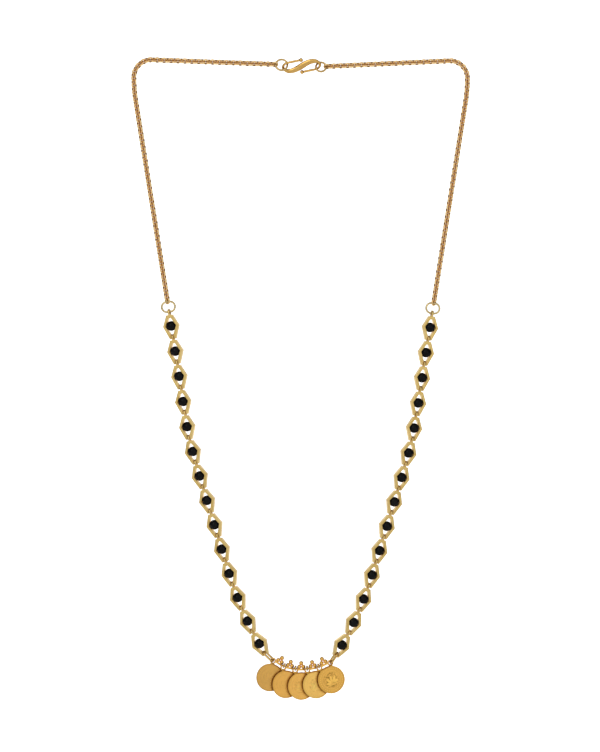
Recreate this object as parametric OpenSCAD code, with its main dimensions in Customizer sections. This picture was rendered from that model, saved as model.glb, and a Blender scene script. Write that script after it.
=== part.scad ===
// Mangalsutra: a black-bead marriage necklace that closes with an S hook and carries a row of coins.
// It is drawn hanging, as worn: +Z is up, +X is to the right and the front faces -Y.
// The origin is the middle of the top run, where the necklace lies against the nape of the neck.
// Each strand is drawn on the right (+X) side, and the left one is its mirror image with its own lengths.

/* [Chain] */
// Outside diameter of one round chain link
chain_link_d = 2.46; // [2.44:0.01:2.48]
// Thickness of the chain wire
chain_wire_d = 0.5; // [0.46:0.01:0.5]
// Distance between the centres of two chain links
chain_pitch = 1.3165; // [1.3:0.0005:1.33]
// Links in the left chain
chain_links_left = 110; // [60:1:110]
// Links in the right chain
chain_links_right = 110; // [60:1:110]
// Radius of the bend where the chain turns from the top run down to the side
corner_r = 6.65; // [6.6:0.05:12]
// Length of the gentle bend from the corner into the side run
easing_run = 9; // [6:0.5:30]
// Lean of the two side runs away from plumb, in degrees
side_lean = 9; // [6:0.5:12]

/* [Strand links] */
// Strand links on each side
strand_links = 14; // [10:1:14]
// Distance between the hinge pins of two strand links
strand_pitch = 9.68; // [9.6:0.01:10]
// Greatest width of the six-sided frame
frame_w = 6.1; // [6:0.1:6.3]
// Width of the frame's blunt ends
frame_end_w = 2.2; // [2.2:0.1:2.6]
// Height of the frame above the middle of its bead
frame_top = 4.25; // [4.2:0.05:4.3]
// Depth of the frame below the middle of its bead
frame_foot = 4.95; // [4.9:0.05:5]
// Thickness of the frame from front to back
frame_t = 2.2; // [2:0.1:2.4]
// Width of each arm of the frame
arm_w = 0.92; // [0.85:0.01:0.92]
// Turn of each frame about its own strand, in degrees
frame_turn = 14; // [10:1:18]
// Diameter of the black bead
bead_d = 3.5; // [3.2:0.05:3.5]
// Diameter of the pin that crosses the eye and carries the bead
bead_pin_d = 0.6; // [0.5:0.05:0.7]
// Diameter of the hinge pin at the foot of each frame
hinge_pin_d = 0.84; // [0.7:0.02:0.84]
// Width of the slot that takes the next link's ear
slot_w = 1.2; // [1.15:0.05:1.25]
// Width of the slot in the last link, which takes a ring
end_slot_w = 1.55; // [1.5:0.05:1.6]
// Thickness of the ear at the head of each frame
ear_t = 0.7; // [0.65:0.05:0.7]

/* [Coins] */
// Diameter of one coin
coin_d = 10.5; // [9.6:0.1:10.7]
// Thickness of a coin at its plain field
coin_t = 0.55; // [0.45:0.05:0.6]
// Distance from the end loops of the bar down to the coin's centre
coin_drop = 5.95; // [5.95:0.05:6.4]
// Distance between the two end loops of one coin's bar
coin_pitch = 4.75; // [4.6:0.05:4.9]
// Turn of every coin that brings its left edge forward, in degrees
coin_turn = 13; // [12:0.5:15]
// Height of the cast relief above the coin's field
relief_h = 0.14; // [0.08:0.01:0.16]
// Diameter of one granule on the bar
granule_d = 1.6; // [1.4:0.05:1.65]

/* [Rings and hook] */
// Wire of the jump, end and clasp rings
ring_wire_d = 0.55; // [0.5:0.01:0.55]
// Width of the jump rings that join the chain to the strands
jump_ring_w = 5.6; // [5.2:0.1:5.8]
// Height of those jump rings
jump_ring_h = 4.4; // [4.2:0.1:4.8]
// Width of the oval rings that join the strands to the coins
end_ring_w = 3.2; // [3.1:0.05:3.3]
// Wire of the small oval rings between two coins
coin_ring_wire_d = 0.48; // [0.4:0.01:0.5]
// Thickness of the hook's thin return wires
hook_wire_d = 0.9; // [0.7:0.02:0.92]
// Diameter of the ball at each end of the hook
hook_ball_d = 1.55; // [1.2:0.05:1.6]

/* [Hidden] */
// Running gap between two pieces that are linked, and the wider one where they also lean
clear = 0.12;
lean_clear = 0.165;
smooth = 48;
gold = [0.86, 0.64, 0.27];
chain_gold = [0.76, 0.53, 0.24];
frame_gold = [0.80, 0.66, 0.32];
bead_black = [0.04, 0.04, 0.05];

// Strand link number and its lean away from plumb in degrees
LINK_LEAN = [
    [1, 9], [2, 9.2], [3, 8.8], [4, 8.8], [5, 9.4], [6, 15.2], [7, 16.2],
    [8, 17], [9, 16.9], [10, 16.9], [11, 17.3], [12, 20.8], [13, 24.6], [14, 30]
];
// Lean in degrees of each coin's bar from left to right; a positive one falls to the right
BAR_LEAN = [33, 13, 0, -10.5, -24.5];
// Side, distance out and height of its first chain link, length and lean of its top run, chain links
LEFT = ["left", 9.725, -1.25, 46.75, 2.11, chain_links_left];
RIGHT = ["right", 10.0, -2.05, 46.54, 2.63, chain_links_right];
// Side, outside diameter of its clasp ring, the ring's centre out and up, tilt of the ring in degrees
CLASP_LEFT = ["left", 5, [7.2, -1.45], -20];
CLASP_RIGHT = ["right", 4.4, [7.775, -2.25], -20];
// Hook section: distance right of its middle, height, thickness in its own plane, thickness across it
HOOK = [
    [0, 0, 2.45, 1.7], [1.6, 1.05, 2.3, 1.65], [3.3, 1.85, 2.05, 1.5], [4.9, 2.1, 1.75, 1.3],
    [6.15, 1.75, 1.25, 1.05], [6.85, 1.1, 1.1, 1], [6.98, 0.25, 1, 0.95], [6.6, -0.6, 0.9, 0.9],
    [5.7, -1.2, 0.8, 0.8], [4.2, -1.6, hook_wire_d, hook_wire_d],
    [2.2, -2.05, hook_wire_d, hook_wire_d], [0.2, -2.5, hook_wire_d, hook_wire_d]
];
// Middle of the hook, across and up
hook_mid = [0.38, -1.9];
// Turn of each end ring about its own length, from the front, in degrees
end_ring_turn_left = 72;
end_ring_turn_right = 105;
// Step across and down from the left strand's last pin to the first coin's loop
first_coin_step = [3, -2.9];

function two(n) = str(n < 10 ? "0" : "", n);
// Unit vector [across, up] at an angle from straight up towards +X
function dir(a) = [sin(a), cos(a)];

// Chain route: a straight top run, a round corner, an easing bend and a straight side run
chain_ring_r = (chain_link_d - chain_wire_d) / 2;
side_heading = 180 + side_lean;
function first_link(s) = [s[1], s[2]];
function top_run(s) = s[3];
function top_heading(s) = 90 - s[4];
function links_of(s) = s[5];
function corner_end(s) = top_run(s) + corner_r * (180 - top_heading(s)) * PI / 180;
function heading_at(s, run) = lookup(run, [
    [top_run(s), top_heading(s)], [corner_end(s), 180], [corner_end(s) + easing_run, side_heading]
]);
// Centre and heading of each chain link, one pitch after the last
function chain_route(s) = [
    for (
        k = 0, p = first_link(s);
        k < links_of(s);
        p = p + chain_pitch * dir(heading_at(s, (k + 0.5) * chain_pitch)), k = k + 1
    ) [p, heading_at(s, k * chain_pitch)]
];

// Jump ring hung in the last chain link, and the first strand link hung in it
jump_ring_r = (jump_ring_h - ring_wire_d) / 2;
ring_in_link = chain_ring_r - chain_wire_d / 2 - lean_clear - ring_wire_d / 2;
function jump_ring_top(s) = chain_route(s)[links_of(s) - 1][0] + ring_in_link * dir(side_heading);
function jump_ring_mid(s) = jump_ring_top(s) + jump_ring_r * dir(side_heading);

// Strand: hinge n is the pin at the foot of link n, and hinge 0 is the foot of the jump ring
ear_r = 1.25;
ear_hole_r = 0.72;
pin_below = frame_foot - 0.7;
pin_above = strand_pitch - pin_below;
ear_z = pin_above - (ear_hole_r - hinge_pin_d / 2 - lean_clear);
function link_lean(n) = lookup(n, LINK_LEAN);
function hinge(s, n) = n == 0 ? jump_ring_mid(s) + jump_ring_r * dir(side_heading)
    : hinge(s, n - 1) + strand_pitch * dir(180 + link_lean(n));
function bead_point(s, n) = hinge(s, n - 1) + pin_above * dir(180 + link_lean(n));

// Coin row: loop 0 is the left end of the first bar, loop n the right end of bar n
loop_r = 0.9;
loop_wire_d = 0.58;
loop_offset = coin_pitch / 2 * sin(coin_turn);
bar = [coin_pitch - 2 * loop_r, 0.6, 0.7];
left_pin = let (p = hinge(LEFT, strand_links)) [-p[0], p[1]];
right_pin = hinge(RIGHT, strand_links);
function bar_lean(n) = BAR_LEAN[n - 1];
function loop_point(n) = n == 0 ? left_pin + first_coin_step
    : loop_point(n - 1) + coin_pitch * [cos(bar_lean(n)) * cos(coin_turn), -sin(bar_lean(n))];
function bar_mid(n) = (loop_point(n - 1) + loop_point(n)) / 2;

module on_side(s) {
    if (s[0] == "left") mirror([1, 0, 0]) children();
    else children();
}

module at(p, heading = 0) translate([p[0], 0, p[1]]) rotate([0, heading, 0]) children();

// Ring in the XZ plane: two half circles of radius r, drawn apart along Z by a straight length.
// The length is rounded to a hundredth of a millimetre, so that the halves meet the sides without a step.
module oval_ring(r, length, wire_d) {
    straight = round(length * 100) / 100;
    for (end = [1, -1]) translate([0, 0, end * straight / 2]) rotate([end * 90, 0, 0])
        rotate_extrude(angle = 180, $fn = smooth) translate([r, 0]) circle(d = wire_d, $fn = smooth);
    for (side = [1, -1]) translate([side * r, 0, -straight / 2])
        cylinder(d = wire_d, h = straight, $fn = smooth);
}

module round_ring(r, wire_d) rotate([90, 0, 0])
    rotate_extrude($fn = smooth) translate([r, 0]) circle(d = wire_d, $fn = smooth);

// Puts its children's Z axis along the line between two points, turned about that line
module between(a, b, turn) {
    v = b - a;
    translate((a + b) / 2) rotate([-asin(v[1] / norm(v)), atan2(v[0], v[2]), 0])
        rotate([0, 0, turn]) children();
}

module chain(s) color(chain_gold) on_side(s) {
    route = chain_route(s);
    for (k = [0:links_of(s) - 1]) at(route[k][0], route[k][1])
        rotate([0, 0, 45 + 90 * k]) round_ring(chain_ring_r, chain_wire_d);
}

module jump_ring(s) color(gold) on_side(s) at(jump_ring_mid(s), side_heading)
    rotate([0, 90, 0]) oval_ring(jump_ring_r, jump_ring_w - jump_ring_h, ring_wire_d);

module clasp_ring(c) color(gold) on_side(c) at(c[2])
    rotate([c[3], 0, 0]) round_ring((c[1] - ring_wire_d) / 2, ring_wire_d);

// Hook: an oval section swept through the rows of the table, the left half turned half a circle
hook_rows = concat([for (k = [len(HOOK) - 1:-1:1]) [-HOOK[k][0], -HOOK[k][1], HOOK[k][2], HOOK[k][3]]], HOOK);
hook_tilt = 30;
steps_per_row = 4;
section_sides = 14;
function hook_row(k) = hook_rows[min(max(k, 0), len(hook_rows) - 1)];
function smooth_between(a, b, c, d, t) = 0.5 * (2 * b + (c - a) * t + (2 * a - 5 * b + 4 * c - d) * t * t
    + (3 * b - a - 3 * c + d) * t * t * t);
function hook_at(u) = let (k = floor(u)) smooth_between(hook_row(k - 1), hook_row(k), hook_row(k + 1),
    hook_row(k + 2), u - k);
function hook_section(u) = let (
        row = hook_at(u),
        step = hook_at(u + 0.01) - hook_at(u - 0.01),
        across = [-step[1], step[0]] / norm([step[0], step[1]])
    ) [for (k = [0:section_sides - 1]) let (a = 360 * k / section_sides, side = across * cos(a) * row[2] / 2)
        [row[0] + side[0], sin(a) * row[3] / 2, row[1] + side[1]]];

module hook_body() {
    count = (len(hook_rows) - 1) * steps_per_row;
    points = [for (j = [0:count]) each hook_section(j / steps_per_row)];
    sides = [for (j = [0:count - 1], k = [0:section_sides - 1])
        let (a = j * section_sides, b = a + section_sides, n = (k + 1) % section_sides)
            each [[a + k, a + n, b + n], [a + k, b + n, b + k]]];
    first_end = [for (k = [section_sides - 1:-1:0]) k];
    last_end = [for (k = [0:section_sides - 1]) count * section_sides + k];
    polyhedron(points, concat(sides, [first_end, last_end]));
}

module clasp_hook() color(gold) at(hook_mid) rotate([hook_tilt, 0, 0]) {
    hook_body();
    for (end = [1, -1]) let (tip = HOOK[len(HOOK) - 1])
        translate([end * tip[0], 0, end * tip[1]]) sphere(d = hook_ball_d, $fn = 24);
}

// Six-sided outline with blunt ends, widest at the middle of the bead
module eye_outline(half_w, end_half_w, head, foot) polygon([
    [half_w, 0], [end_half_w, head], [-end_half_w, head],
    [-half_w, 0], [-end_half_w, -foot], [end_half_w, -foot]
]);

// Round bar across the strand, from side to side
module cross_pin(r, length) rotate([0, 90, 0]) cylinder(r = r, h = length, center = true, $fn = smooth);

module strand_link(slot) {
    head_wall = 1.15;
    foot_wall = 1.5;
    slot_l = 2.4;
    eye_end_w = 0.9;
    difference() {
        union() {
            rotate([90, 0, 0]) linear_extrude(frame_t, center = true)
                eye_outline(frame_w / 2, frame_end_w / 2, frame_top, frame_foot);
            translate([0, 0, ear_z]) cross_pin(ear_r, ear_t);
            translate([-ear_t / 2, -ear_r * 0.8, frame_top - 0.2])
                cube([ear_t, ear_r * 1.6, ear_z - frame_top - 0.4]);
        }
        rotate([90, 0, 0]) linear_extrude(frame_t + 1, center = true)
            eye_outline(frame_w / 2 - arm_w, eye_end_w / 2, frame_top - head_wall, frame_foot - foot_wall);
        translate([-slot / 2, -frame_t, -frame_foot - 1]) cube([slot, frame_t * 2, slot_l + 1]);
        translate([0, 0, ear_z]) cross_pin(ear_hole_r, ear_t + 1);
    }
    cross_pin(bead_pin_d / 2, frame_w - 1);
    translate([0, 0, -pin_below]) cross_pin(hinge_pin_d / 2, frame_end_w);
}

module link(s, n) color(frame_gold) on_side(s) at(bead_point(s, n), link_lean(n))
    rotate([0, 0, frame_turn]) strand_link(n == strand_links ? end_slot_w : slot_w);

module bead() rotate([0, 90, 0]) rotate_extrude($fn = smooth) difference() {
    circle(d = bead_d, $fn = smooth);
    translate([-bead_d, -bead_d]) square([bead_d + bead_pin_d / 2 + 0.1, 2 * bead_d]);
}

module beads(s) color(bead_black) on_side(s) for (n = [1:strand_links])
    at(bead_point(s, n), link_lean(n)) rotate([0, 0, frame_turn]) bead();

// Ring from a strand's last hinge pin to an end loop of the coin row
module end_ring(pin, loop, loop_y, turn) {
    over_pin = hinge_pin_d / 2 + lean_clear + ring_wire_d / 2;
    top = pin + over_pin * (pin - loop) / norm(pin - loop);
    a = [loop[0], loop_y, loop[1]];
    b = [top[0], 0, top[1]];
    r = (end_ring_w - ring_wire_d) / 2;
    color(gold) between(a, b, turn) oval_ring(r, norm(b - a) - 2 * r, ring_wire_d);
}

// Small oval ring that stands front to back through the loops of coins n and n + 1
module coin_ring(n) {
    low = loop_r - loop_wire_d / 2 - clear - coin_ring_wire_d / 2;
    high = loop_r + loop_wire_d / 2 + clear + coin_ring_wire_d / 2;
    y = loop_offset * (cos(bar_lean(n)) - cos(bar_lean(n + 1))) / 2;
    p = loop_point(n);
    color(gold) translate([p[0], y, p[1]]) rotate([0, (bar_lean(n) + bar_lean(n + 1)) / 2, 0])
        translate([0, 0, (low + high) / 2])
            rotate([-90, -90, 0]) oval_ring((high - low) / 2, 2 * loop_offset + 0.25, coin_ring_wire_d);
}

// Petal with two pointed ends, its foot at the origin
module petal(length, width) {
    r = (length * length + width * width) / 4 / width;
    translate([0, length / 2]) intersection_for(side = [1, -1])
        translate([side * (r - width / 2), 0]) circle(r = r, $fn = smooth);
}

// Cast face: rim, dotted border, inner circle, and a lotus over a base line
module coin_relief() {
    face_r = coin_d / 2;
    inner_r = face_r * 0.68;
    base_y = -inner_r * 0.58;
    ring_of(face_r, 0.4);
    for (k = [0:31]) rotate(360 / 32 * k) translate([face_r * 0.82, 0]) circle(d = 0.4, $fn = 16);
    ring_of(inner_r, 0.14);
    translate([-inner_r * 0.78, base_y]) square([inner_r * 1.56, 0.24]);
    for (a = [-72:36:72]) translate([0, base_y + 0.5]) rotate(a) translate([0, 0.5])
        petal(abs(a) > 50 ? 2.1 : 2.7, 0.95);
}

module ring_of(r, w) difference() {
    circle(r = r, $fn = smooth * 2);
    circle(r = r - w, $fn = smooth * 2);
}

// Ball whose own axis runs front to back, clear of where it meets its neighbours
module granule() rotate([90, 0, 0]) sphere(d = granule_d, $fn = smooth);

// Three granules: two on the bar and one above them, held by two necks of solder
module granules() {
    gap = 0.04;
    foot_x = (granule_d + gap) / 2;
    foot_z = bar[2] / 2 + granule_d / 2 - 0.1;
    rise = foot_x * sqrt(3);
    for (side = [1, -1]) translate([side * foot_x, 0, foot_z]) {
        granule();
        rotate([0, -side * 30, 0]) cylinder(d = granule_d * 0.4, h = granule_d + gap, $fn = smooth);
    }
    translate([0, 0, foot_z + rise]) granule();
}

// One casting: the coin, two lugs, the flat bar with its end loops, and its granules
module coin_unit() {
    sink = 0.1;
    lug = [1.4, 0.5, 1.25];
    lug_x = 1.95;
    lug_top = -0.75;
    bar_rise = 0.3;
    translate([0, 0, -coin_drop]) rotate([90, 0, 0]) {
        cylinder(d = coin_d, h = coin_t, center = true, $fn = smooth * 2);
        translate([0, 0, coin_t / 2 - sink]) linear_extrude(relief_h + sink) coin_relief();
    }
    for (side = [1, -1]) {
        translate([side * lug_x - lug[0] / 2, -lug[1] / 2, lug_top - lug[2]]) cube(lug);
        translate([side * coin_pitch / 2, 0, 0]) round_ring(loop_r, loop_wire_d);
    }
    translate([0, 0, bar_rise]) {
        cube(bar, center = true);
        granules();
    }
}

module coin(n) color(gold) at(bar_mid(n)) rotate([0, bar_lean(n), coin_turn]) coin_unit();

chain(LEFT);  // chain_left
chain(RIGHT);  // chain_right
clasp_hook();
clasp_ring(CLASP_LEFT);  // clasp_ring_left
clasp_ring(CLASP_RIGHT);  // clasp_ring_right
jump_ring(LEFT);  // jump_ring_left
jump_ring(RIGHT);  // jump_ring_right
end_ring(left_pin, loop_point(0), -loop_offset * cos(bar_lean(1)), end_ring_turn_left);  // end_ring_left
end_ring(right_pin, loop_point(5), loop_offset * cos(bar_lean(5)), end_ring_turn_right);  // end_ring_right
beads(LEFT);  // beads_left
beads(RIGHT);  // beads_right
for (n = [1:strand_links]) {
    link(LEFT, n);
    link(RIGHT, n);
}
for (n = [1:len(BAR_LEAN)]) coin(n);
for (n = [1:len(BAR_LEAN) - 1]) coin_ring(n);
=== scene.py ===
import math

import bpy
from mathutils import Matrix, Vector

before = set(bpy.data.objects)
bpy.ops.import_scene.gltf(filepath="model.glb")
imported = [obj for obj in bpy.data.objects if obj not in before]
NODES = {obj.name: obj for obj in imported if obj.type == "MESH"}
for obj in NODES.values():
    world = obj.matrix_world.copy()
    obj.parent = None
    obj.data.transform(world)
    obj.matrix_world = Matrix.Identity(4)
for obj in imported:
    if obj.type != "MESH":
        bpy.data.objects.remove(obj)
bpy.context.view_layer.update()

MM = 0.001

# Camera, in metres in the row frame, and the height of its sensor in millimetres
VIEW_CENTRE = Vector((-0.0002, 0.0, -0.1197))
VIEW_HEIGHT = 0.2858
CAMERA_DISTANCE = 1.2
CLIP_START = 0.05
CLIP_END = 20.0
SENSOR = 36.0

# Floor and backdrop, in metres
FLOOR_Z = -0.40
FLOOR_FRONT_Y = -2.4
BACKDROP_Y = 2.4
BACKDROP_TOP_Z = 1.4
STAGE_HALF_WIDTH = 1.1
BEND_R = 0.9
BEND_STEPS = 16

# Noise scales: drift of colour, drift of gloss, fine grain of the metal, worn figure on a coin
DRIFT_SCALE = 260.0
GLOSS_SCALE = 900.0
GRAIN_SCALE = 2600.0
FIGURE_SCALE = 1500.0
GRAIN_DETAIL = 4.0
FIGURE_DETAIL = 2.0

# Samples of the occlusion and bevel nodes
OPENNESS_SAMPLES = 8
ROUNDING_SAMPLES = 6

# Sockets of a Mix node that carry colours
MIX_ONE, MIX_OTHER, MIX_RESULT = 6, 7, 2

# How far a point on plain gold looks for other surfaces, and from where to where its openness counts,
# for the light and shade painted into its recesses
RECESS_PAINT_REACH = 0.7 * MM
RECESS_PAINT_SPAN = (0.35, 0.85)
# Depths between which shade is painted on the chain's faces that look inwards, across its middle
INNER_SHADE_SPAN = (0.05 * MM, 0.40 * MM)

# Way that every coin faces, way across its face, and radius of its disc
COIN_TURN = math.radians(13)
COIN_FACE = Vector((math.sin(COIN_TURN), -math.cos(COIN_TURN), 0))
COIN_ACROSS = Vector((math.cos(COIN_TURN), math.sin(COIN_TURN), 0))
COIN_R = 5.25 * MM
# Heights from the top of a coin's relief: the relief itself, and the face with all its relief
RAISED_SPAN = (-0.10 * MM, -0.04 * MM)
FACE_SPAN = (-0.30 * MM, -0.20 * MM)
# Distances from the middle of a disc: end of the figure, band of painted shade at the edge, start of
# the bar and its lugs
FIGURE_SPAN = (2.4 * MM, 3.3 * MM)
EDGE_SHADE_SPAN = (COIN_R - 0.80 * MM, COIN_R - 0.05 * MM)
BAR_SPAN = (COIN_R + 0.15 * MM, COIN_R + 0.35 * MM)
# Distances from the middle towards the bar, where the bar shades the disc
UNDER_BAR_SPAN = (0.89 * COIN_R, 0.95 * COIN_R)
# How squarely a surface faces the coin's way, from its cut side, which gets painted shade, to its face
SIDE_SPAN = (0.2, 0.7)
# Values of the figure's noise between which its worn marks begin
MARK_SPAN = (0.47, 0.58)
# Reach of the shade that one coin casts on the next, and the shade between which it darkens
COIN_SHADE = 1.5 * MM
SHADE_SPAN = (0.06, 0.42)
# Share of its darker tone that the painted shade at the edge takes
EDGE_SHADE_SHARE = 0.65

# Colour of the coins' bars and granules, and factors on a coin's own colour elsewhere, of which the
# edge, side and shade factors give painted shade
BAR_TINT = (0.88, 0.51, 0.12)
FIELD_TONE = (0.92, 0.92, 0.92)
MARK_TONE = (0.46, 0.44, 0.38)
RAISED_TONE = (1.25, 1.25, 1.25)
EDGE_SHADE_TONE = (0.62, 0.58, 0.42)
SIDE_SHADE_TONE = (0.42, 0.30, 0.22)
SHADE_TONE = (0.37, 0.21, 0.07)

# Roughness of the rings and the hook, the coins, the frames and the chain
POLISHED = (0.22, 0.32)
COIN_GLOSS = (0.28, 0.40)
FRAME_GLOSS = (0.26, 0.36)
CHAIN_GLOSS = (0.30, 0.42)


# Shader nodes: each function returns an output, and its values are numbers or other outputs


def add_place(tree):
    """The shaded point, in its piece's own coordinates."""
    return tree.nodes.new("ShaderNodeTexCoord").outputs["Object"]


def add_normal(tree):
    return tree.nodes.new("ShaderNodeNewGeometry").outputs["Normal"]


def add_noise(tree, scale, detail=3.0):
    node = tree.nodes.new("ShaderNodeTexNoise")
    node.inputs["Scale"].default_value = scale
    node.inputs["Detail"].default_value = detail
    tree.links.new(add_place(tree), node.inputs["Vector"])
    return node.outputs["Fac"]


def add_ramp(tree, source, stops):
    """A colour that follows a value through a short list of places and colours."""
    node = tree.nodes.new("ShaderNodeValToRGB")
    elements = node.color_ramp.elements
    for element, (place, colour) in zip(elements, (stops[0], stops[-1])):
        element.position = place
        element.color = (*colour, 1)
    for place, colour in stops[1:-1]:
        elements.new(place).color = (*colour, 1)
    tree.links.new(source, node.inputs["Fac"])
    return node.outputs["Color"]


def add_drift(tree, scale, low, high):
    """A colour that drifts between two colours over the piece."""
    return add_ramp(tree, add_noise(tree, scale), [(0.3, low), (0.7, high)])


def add_math(tree, operation, *values):
    node = tree.nodes.new("ShaderNodeMath")
    node.operation = operation
    for socket, value in zip(node.inputs, values):
        if isinstance(value, (int, float)):
            socket.default_value = value
        else:
            tree.links.new(value, socket)
    return node.outputs[0]


def add_product(tree, *values):
    product = values[0]
    for value in values[1:]:
        product = add_math(tree, "MULTIPLY", product, value)
    return product


def add_rest(tree, value):
    """1 minus the value."""
    return add_math(tree, "SUBTRACT", 1.0, value)


def add_dot(tree, source, direction):
    node = tree.nodes.new("ShaderNodeVectorMath")
    node.operation = "DOT_PRODUCT"
    tree.links.new(source, node.inputs[0])
    node.inputs[1].default_value = direction
    return node.outputs["Value"]


def add_offset(tree, direction, start):
    """How far the shaded point lies past a start, along a direction."""
    return add_math(tree, "SUBTRACT", add_dot(tree, add_place(tree), direction), start)


def add_mix(tree, factor, one, other):
    """A colour mix: one where the factor is 0, other where it is 1. Each is a colour or an output."""
    node = tree.nodes.new("ShaderNodeMix")
    node.data_type = "RGBA"
    tree.links.new(factor, node.inputs["Factor"])
    for socket, value in ((node.inputs[MIX_ONE], one), (node.inputs[MIX_OTHER], other)):
        if isinstance(value, tuple):
            socket.default_value = (*value, 1)
        else:
            tree.links.new(value, socket)
    return node.outputs[MIX_RESULT]


def add_range(tree, value, start, end, smooth=False):
    """A value moved from one range to another and held within it."""
    node = tree.nodes.new("ShaderNodeMapRange")
    if smooth:
        node.interpolation_type = "SMOOTHSTEP"
    for socket, limit in zip(("From Min", "From Max", "To Min", "To Max"), (*start, *end)):
        node.inputs[socket].default_value = limit
    tree.links.new(value, node.inputs["Value"])
    return node.outputs["Result"]


def add_step(tree, value, low, high):
    """0 below low, 1 above high, smooth between them."""
    return add_range(tree, value, (low, high), (0.0, 1.0), smooth=True)


def add_openness(tree, reach, only_own=False):
    """How much room a point sees within a short reach, past every piece or past its own alone."""
    node = tree.nodes.new("ShaderNodeAmbientOcclusion")
    node.samples = OPENNESS_SAMPLES
    node.only_local = only_own
    node.inputs["Distance"].default_value = reach
    return node.outputs["AO"]


# Materials


def new_material(name, settings):
    """A material, its node tree and its shader, with some of the shader's inputs set."""
    mat = bpy.data.materials.new(name)
    mat.use_nodes = True
    shader = mat.node_tree.nodes["Principled BSDF"]
    for socket, value in settings.items():
        shader.inputs[socket].default_value = value
    return mat, mat.node_tree, shader


def add_gloss(tree, shader, low, high):
    """Roughness that drifts between two values."""
    rough = add_range(tree, add_noise(tree, GLOSS_SCALE), (0.0, 1.0), (low, high))
    tree.links.new(rough, shader.inputs["Roughness"])


def add_bump(tree, shader, height, strength, distance, rounding=0.0):
    """Fine relief in the normal, over edges that look rounded by the given radius."""
    bump = tree.nodes.new("ShaderNodeBump")
    if rounding:
        bevel = tree.nodes.new("ShaderNodeBevel")
        bevel.samples = ROUNDING_SAMPLES
        bevel.inputs["Radius"].default_value = rounding
        tree.links.new(bevel.outputs["Normal"], bump.inputs["Normal"])
    bump.inputs["Strength"].default_value = strength
    bump.inputs["Distance"].default_value = distance
    tree.links.new(height, bump.inputs["Height"])
    tree.links.new(bump.outputs["Normal"], shader.inputs["Normal"])


def scaled(colour, factors):
    return tuple(min(1.0, c * k) for c, k in zip(colour, factors))


def gold_material(name, low, high, gloss, painted_recess_tone, rounding=0.0, painted_inner_shade=None):
    """Gold-coloured metal that drifts between two colours under a fine grain, with painted shade in
    recesses.

    Factors on the low colour give painted shade in recesses, on the frames a warmer orange painted tint
    where they meet, and where given, painted shade on the faces that look inwards, to the front or to
    the back.
    """
    mat, tree, shader = new_material(name, {"Metallic": 1.0})
    # Painted shade in recesses: little open room turns the colour to the recess tone, on the frames a
    # warmer painted tint
    openness = add_step(tree, add_openness(tree, RECESS_PAINT_REACH), *RECESS_PAINT_SPAN)
    colour = add_mix(tree, openness, scaled(low, painted_recess_tone), add_drift(tree, DRIFT_SCALE, low, high))
    # Painted shade on the faces that look inwards, across the middle of the piece
    if painted_inner_shade:
        depth = add_dot(tree, add_place(tree), (0, 1, 0))
        facing = add_dot(tree, add_normal(tree), (0, -1, 0))
        inner_shade = add_step(tree, add_product(tree, depth, facing), *INNER_SHADE_SPAN)
        colour = add_mix(tree, inner_shade, colour, scaled(low, painted_inner_shade))
    tree.links.new(colour, shader.inputs["Base Color"])
    add_gloss(tree, shader, *gloss)
    grain = add_noise(tree, GRAIN_SCALE, GRAIN_DETAIL)
    add_bump(tree, shader, grain, strength=0.2, distance=0.05 * MM, rounding=rounding)
    return mat


def coin_frame(obj):
    """Centre of a coin's disc, top of its relief and way to its bar, read from its own vertices."""
    waist_half = 1.0 * MM
    face_half = 4.0 * MM
    bar_gap = 1.0 * MM
    points = [v.co.copy() for v in obj.data.vertices]
    mid_z = min(p.z for p in points) + COIN_R
    waist = [p.dot(COIN_ACROSS) for p in points if abs(p.z - mid_z) < waist_half]
    mid_along = (min(waist) + max(waist)) / 2
    top = max(p.dot(COIN_FACE) for p in points if abs(p.z - mid_z) < face_half)
    arms = [Vector((p.dot(COIN_ACROSS) - mid_along, p.z - mid_z)) for p in points]
    lean = sum([arm for arm in arms if arm.length > COIN_R + bar_gap], Vector((0, 0))).normalized()
    centre = COIN_ACROSS * mid_along + Vector((0, 0, mid_z))
    to_bar = COIN_ACROSS * lean.x + Vector((0, 0, lean.y))
    return centre, top, to_bar


def add_coin_masks(tree, centre, top, to_bar):
    """The parts of a coin, each as a value that is 1 on the part and 0 off it."""
    dx = add_offset(tree, COIN_ACROSS, centre.dot(COIN_ACROSS))
    dz = add_offset(tree, (0, 0, 1), centre.z)
    square = add_math(tree, "ADD", add_product(tree, dx, dx), add_product(tree, dz, dz))
    reach = add_math(tree, "SQRT", square)
    height = add_offset(tree, COIN_FACE, top)
    rise = add_offset(tree, to_bar, centre.dot(to_bar))
    facing = add_math(tree, "ABSOLUTE", add_dot(tree, add_normal(tree), COIN_FACE))
    face = add_step(tree, height, *FACE_SPAN)
    middle = add_rest(tree, add_step(tree, reach, *FIGURE_SPAN))
    side = add_rest(tree, add_step(tree, facing, *SIDE_SPAN))
    bar = add_step(tree, reach, *BAR_SPAN)
    return {
        "figure": add_product(tree, face, middle),
        "raised": add_step(tree, height, *RAISED_SPAN),
        "edge": add_step(tree, reach, *EDGE_SHADE_SPAN),
        "side": add_product(tree, side, add_rest(tree, bar)),
        "under_bar": add_step(tree, rise, *UNDER_BAR_SPAN),
        "bar": bar,
    }


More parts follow.
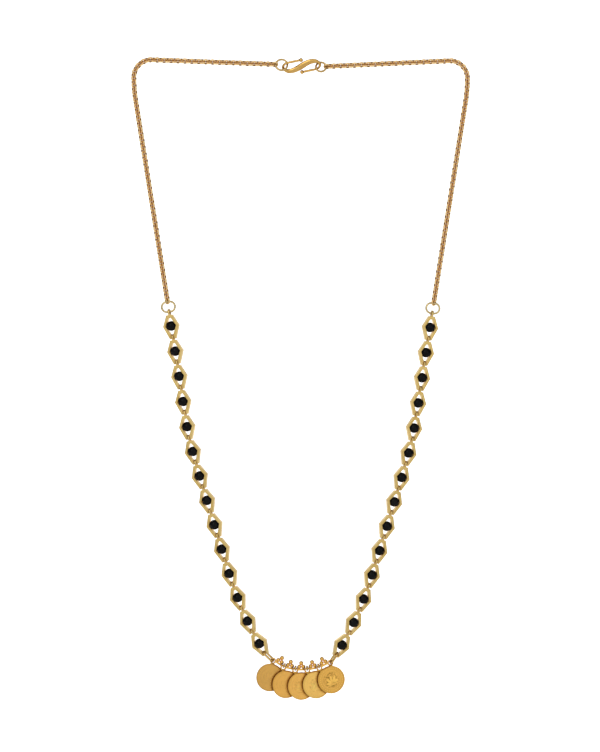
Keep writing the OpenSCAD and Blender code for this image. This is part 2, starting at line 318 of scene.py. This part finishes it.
def coin_material(obj, tint, wear):
    """Struck gold: polished relief over a duller field, with painted shade on its edge band, its cut
    sides, under its bar and near other pieces, and a redder bar.
    """
    mat, tree, shader = new_material(obj.name + "_gold", {"Metallic": 1.0})
    masks = add_coin_masks(tree, *coin_frame(obj))
    figure = add_noise(tree, FIGURE_SCALE, FIGURE_DETAIL)
    marks = add_step(tree, figure, *MARK_SPAN)
    open_alone = add_openness(tree, COIN_SHADE, only_own=True)
    shade = add_math(tree, "SUBTRACT", open_alone, add_openness(tree, COIN_SHADE))
    layers = [
        (add_product(tree, marks, masks["figure"], wear), scaled(tint, MARK_TONE)),
        (add_product(tree, masks["raised"], wear), scaled(tint, RAISED_TONE)),
        # Painted shade on the band round the edge of the disc
        (add_product(tree, masks["edge"], EDGE_SHADE_SHARE), scaled(tint, EDGE_SHADE_TONE)),
        # Painted shade on the cut sides
        (masks["side"], scaled(tint, SIDE_SHADE_TONE)),
        (masks["under_bar"], scaled(tint, SHADE_TONE)),
        (masks["bar"], BAR_TINT),
        (add_step(tree, shade, *SHADE_SPAN), scaled(tint, SHADE_TONE)),
    ]
    colour = add_drift(tree, DRIFT_SCALE, scaled(tint, FIELD_TONE), tint)
    for mask, layer in layers:
        colour = add_mix(tree, mask, colour, layer)
    tree.links.new(colour, shader.inputs["Base Color"])
    add_gloss(tree, shader, *COIN_GLOSS)
    grain_share = 0.15
    worn = add_product(tree, figure, masks["figure"], wear)
    grain = add_product(tree, add_noise(tree, GRAIN_SCALE, GRAIN_DETAIL), grain_share)
    add_bump(tree, shader, add_math(tree, "ADD", worn, grain), strength=0.8, distance=0.2 * MM)
    return mat


def bead_material():
    """Black glass with a faint sheen and an uneven skin."""
    tint_scale = 400.0
    skin_scale = 700.0
    mat, tree, shader = new_material(
        "bead_black_glass", {"Roughness": 0.15, "IOR": 1.45, "Specular IOR Level": 0.10})
    black = add_drift(tree, tint_scale, (0.003, 0.003, 0.003), (0.006, 0.006, 0.007))
    tree.links.new(black, shader.inputs["Base Color"])
    add_bump(tree, shader, add_noise(tree, skin_scale), strength=0.12, distance=0.1 * MM)
    return mat


def stage_material():
    """Pale paper that glows a little more towards the backdrop, so that it stays white."""
    near_y, far_y = 0.2, 1.2
    near_glow, far_glow = 0.30, 0.85
    paper_scale = 40.0
    mat, tree, shader = new_material(
        "stage_white", {"Roughness": 0.9, "Emission Color": (1, 1, 1, 1)})
    shades = [(0.0, (0.90, 0.90, 0.90)), (1.0, (0.92, 0.92, 0.92))]
    paper = add_ramp(tree, add_noise(tree, paper_scale), shades)
    tree.links.new(paper, shader.inputs["Base Color"])
    depth = add_dot(tree, add_place(tree), (0, 1, 0))
    glow = add_range(tree, depth, (near_y, far_y), (near_glow, far_glow), smooth=True)
    tree.links.new(glow, shader.inputs["Emission Strength"])
    return mat


# Each gold below gets painted shade in its recesses; on the frames this painted tint is a warmer orange
# where they meet, and the chain also gets painted shade on its faces that look inwards
JOINT_GOLD = gold_material(
    "joint_gold", (0.66, 0.42, 0.12), (0.78, 0.51, 0.16), POLISHED, painted_recess_tone=(0.60, 0.45, 0.30))
CLASP_GOLD = gold_material(
    "clasp_gold", (0.52, 0.35, 0.14), (0.64, 0.45, 0.19), POLISHED, painted_recess_tone=(0.50, 0.36, 0.24))
RING_GOLD = gold_material(
    "ring_gold", (0.58, 0.45, 0.22), (0.70, 0.56, 0.29), POLISHED, painted_recess_tone=(0.50, 0.40, 0.30))
HOOK_GOLD = gold_material(
    "hook_gold", (0.64, 0.37, 0.10), (0.76, 0.47, 0.14), POLISHED, painted_recess_tone=(0.55, 0.34, 0.20),
    rounding=0.30 * MM)
FRAME_GOLD = gold_material(
    "frame_gold", (0.68, 0.47, 0.15), (0.77, 0.56, 0.21), FRAME_GLOSS, painted_recess_tone=(1.30, 1.00, 0.75),
    rounding=0.35 * MM)
CHAIN_GOLD = gold_material(
    "chain_gold", (0.90, 0.60, 0.27), (1.00, 0.74, 0.36), CHAIN_GLOSS, painted_recess_tone=(0.80, 0.62, 0.46),
    painted_inner_shade=(0.26, 0.18, 0.12))

# Start of a piece's name, its material and the thickness of its plating
FINISHES = [
    ("beads", bead_material(), 0.16 * MM),
    ("chain", CHAIN_GOLD, 0.09 * MM),
    ("clasp_hook", HOOK_GOLD, 0.0),
    ("clasp_ring", CLASP_GOLD, 0.12 * MM),
    ("coin_ring", JOINT_GOLD, 0.10 * MM),
    ("end_ring", JOINT_GOLD, 0.13 * MM),
    ("jump_ring", RING_GOLD, 0.12 * MM),
    ("link", FRAME_GOLD, 0.0),
]

# Coin, its colour, and how much of its worn relief shows
COIN_LOOKS = {
    "coin_1": ((0.79, 0.45, 0.115), 0.10),
    "coin_2": ((0.92, 0.51, 0.120), 0.05),
    "coin_3": ((0.97, 0.54, 0.130), 0.30),
    "coin_4": ((1.00, 0.61, 0.160), 0.35),
    "coin_5": ((0.86, 0.48, 0.105), 1.00),
}


def finish_of(name):
    return next((mat, plating) for start, mat, plating in FINISHES if name.startswith(start))


def paint(obj, mat):
    if not obj.material_slots:
        obj.data.materials.append(mat)
    for slot in obj.material_slots:
        slot.link = "OBJECT"
        slot.material = mat


def soften(obj):
    """A small rounding on the sharp edges of a frame."""
    bevel = obj.modifiers.new("soft_edges", "BEVEL")
    bevel.width = 0.30 * MM
    bevel.segments = 4
    bevel.limit_method = "ANGLE"
    bevel.angle_limit = math.radians(30)


def thicken(obj, amount):
    """Plating and polish: linked rings look as close as they do in the photograph."""
    skin = obj.modifiers.new("plating", "DISPLACE")
    skin.mid_level = 0.0
    skin.strength = amount


def dress(name, obj):
    """A coin's own look, or else the finish of its kind of piece."""
    if name in COIN_LOOKS:
        paint(obj, coin_material(obj, *COIN_LOOKS[name]))
        return
    mat, plating = finish_of(name)
    paint(obj, mat)
    if name.startswith("link"):
        soften(obj)
    if plating:
        thicken(obj, plating)


# Floor, light and camera


def add_object(name, data):
    obj = bpy.data.objects.new(name, data)
    bpy.context.scene.collection.objects.link(obj)
    return obj


def build_stage():
    """A floor that curves up into a backdrop far behind the necklace."""
    profile = [(FLOOR_FRONT_Y, FLOOR_Z)]
    for k in range(BEND_STEPS + 1):
        a = math.pi / 2 * k / BEND_STEPS
        y = BACKDROP_Y - BEND_R + BEND_R * math.sin(a)
        profile.append((y, FLOOR_Z + BEND_R - BEND_R * math.cos(a)))
    profile.append((BACKDROP_Y, BACKDROP_TOP_Z))
    verts = [(x, y, z) for y, z in profile for x in (-STAGE_HALF_WIDTH, STAGE_HALF_WIDTH)]
    faces = [(2 * k, 2 * k + 1, 2 * k + 3, 2 * k + 2) for k in range(len(profile) - 1)]
    mesh = bpy.data.meshes.new("stage_sweep")
    mesh.from_pydata(verts, [], faces)
    for face in mesh.polygons:
        face.use_smooth = True
    obj = add_object("stage_sweep", mesh)
    obj.data.materials.append(stage_material())


def soft_box(name, place, size, power):
    """A rectangular light that faces the middle of the view."""
    data = bpy.data.lights.new(name, "AREA")
    data.shape = "RECTANGLE"
    data.size, data.size_y = size
    data.energy = power
    obj = add_object(name, data)
    obj.location = place
    obj.rotation_euler = (VIEW_CENTRE - Vector(place)).to_track_quat("-Z", "Y").to_euler()


def build_room():
    """A room that is bright in front of the necklace and darker at the sides."""
    world = bpy.data.worlds.new("soft_room")
    world.use_nodes = True
    tree = world.node_tree
    way = tree.nodes.new("ShaderNodeTexCoord").outputs["Generated"]
    back_to_front = add_range(tree, add_dot(tree, way, (0, 1, 0)), (1.0, -1.0), (0.0, 1.0))
    walls = [
        (0.0, (0.40, 0.40, 0.41)),
        (0.45, (0.16, 0.16, 0.17)),
        (0.74, (0.24, 0.24, 0.24)),
        (0.90, (0.85, 0.85, 0.84)),
        (1.0, (1.00, 1.00, 0.99)),
    ]
    background = tree.nodes["Background"]
    tree.links.new(add_ramp(tree, back_to_front, walls), background.inputs["Color"])
    bpy.context.scene.world = world


def build_camera():
    data = bpy.data.cameras.new("photo_camera")
    data.sensor_fit = "VERTICAL"
    data.sensor_height = SENSOR
    data.lens = SENSOR * CAMERA_DISTANCE / VIEW_HEIGHT
    data.clip_start = CLIP_START
    data.clip_end = CLIP_END
    obj = add_object("photo_camera", data)
    obj.location = VIEW_CENTRE - Vector((0, CAMERA_DISTANCE, 0))
    obj.rotation_euler = (math.pi / 2, 0, 0)
    bpy.context.scene.camera = obj


for name, obj in NODES.items():
    dress(name, obj)

build_stage()
soft_box("key_left", (-0.60, -1.00, 0.45), (0.5, 0.6), 2.0)
soft_box("fill_right", (0.95, -0.85, 0.1), (0.4, 0.6), 0.8)
soft_box("top_strip", (0.0, -0.45, 0.75), (1.0, 0.25), 1.0)
build_room()
build_camera()
bpy.context.scene.view_settings.view_transform = "Standard"
